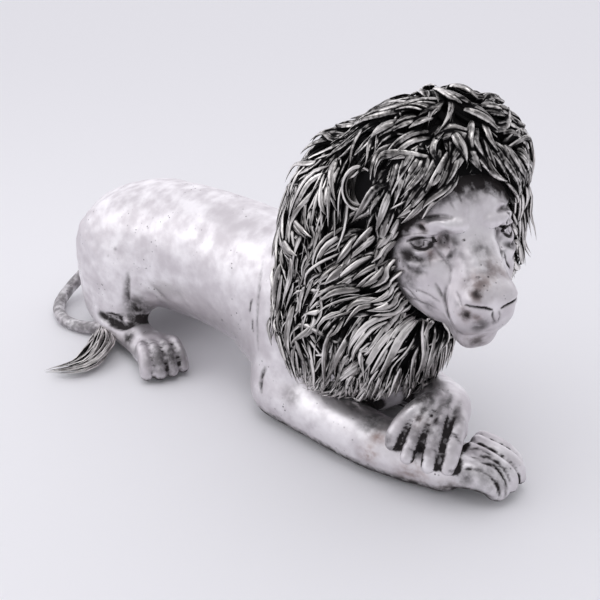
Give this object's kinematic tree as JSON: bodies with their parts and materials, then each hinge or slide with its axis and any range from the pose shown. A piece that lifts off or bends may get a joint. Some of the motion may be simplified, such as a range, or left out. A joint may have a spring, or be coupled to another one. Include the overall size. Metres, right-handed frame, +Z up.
{
  "type": "lion sculpture",
  "caption": "Life-like lying lion in forged steel: hammered sheet skin, full mane and tail tuft of pointed strips, one foreleg crossed over the other. Stands by its own weight.",
  "frame": {"origin": "on the floor below the breast, at the flat face that the breast stands on", "axes": "+X the way the body points, towards the forepaws; +Y the lion's left; +Z up"},
  "size_m": [1.2544, 0.5668, 0.66],
  "materials": {
    "brushed_skin": "hammered and ground, bright, with smoky and reddish heat tints",
    "smoked_strips": "forged strips, black in the recesses and worn bright on the edges"
  },
  "bodies": {
    "root": {"body": "brushed_skin", "mane": "smoked_strips", "tail": "brushed_skin", "tail_tuft": "smoked_strips"}
  },
  "joints": []
}
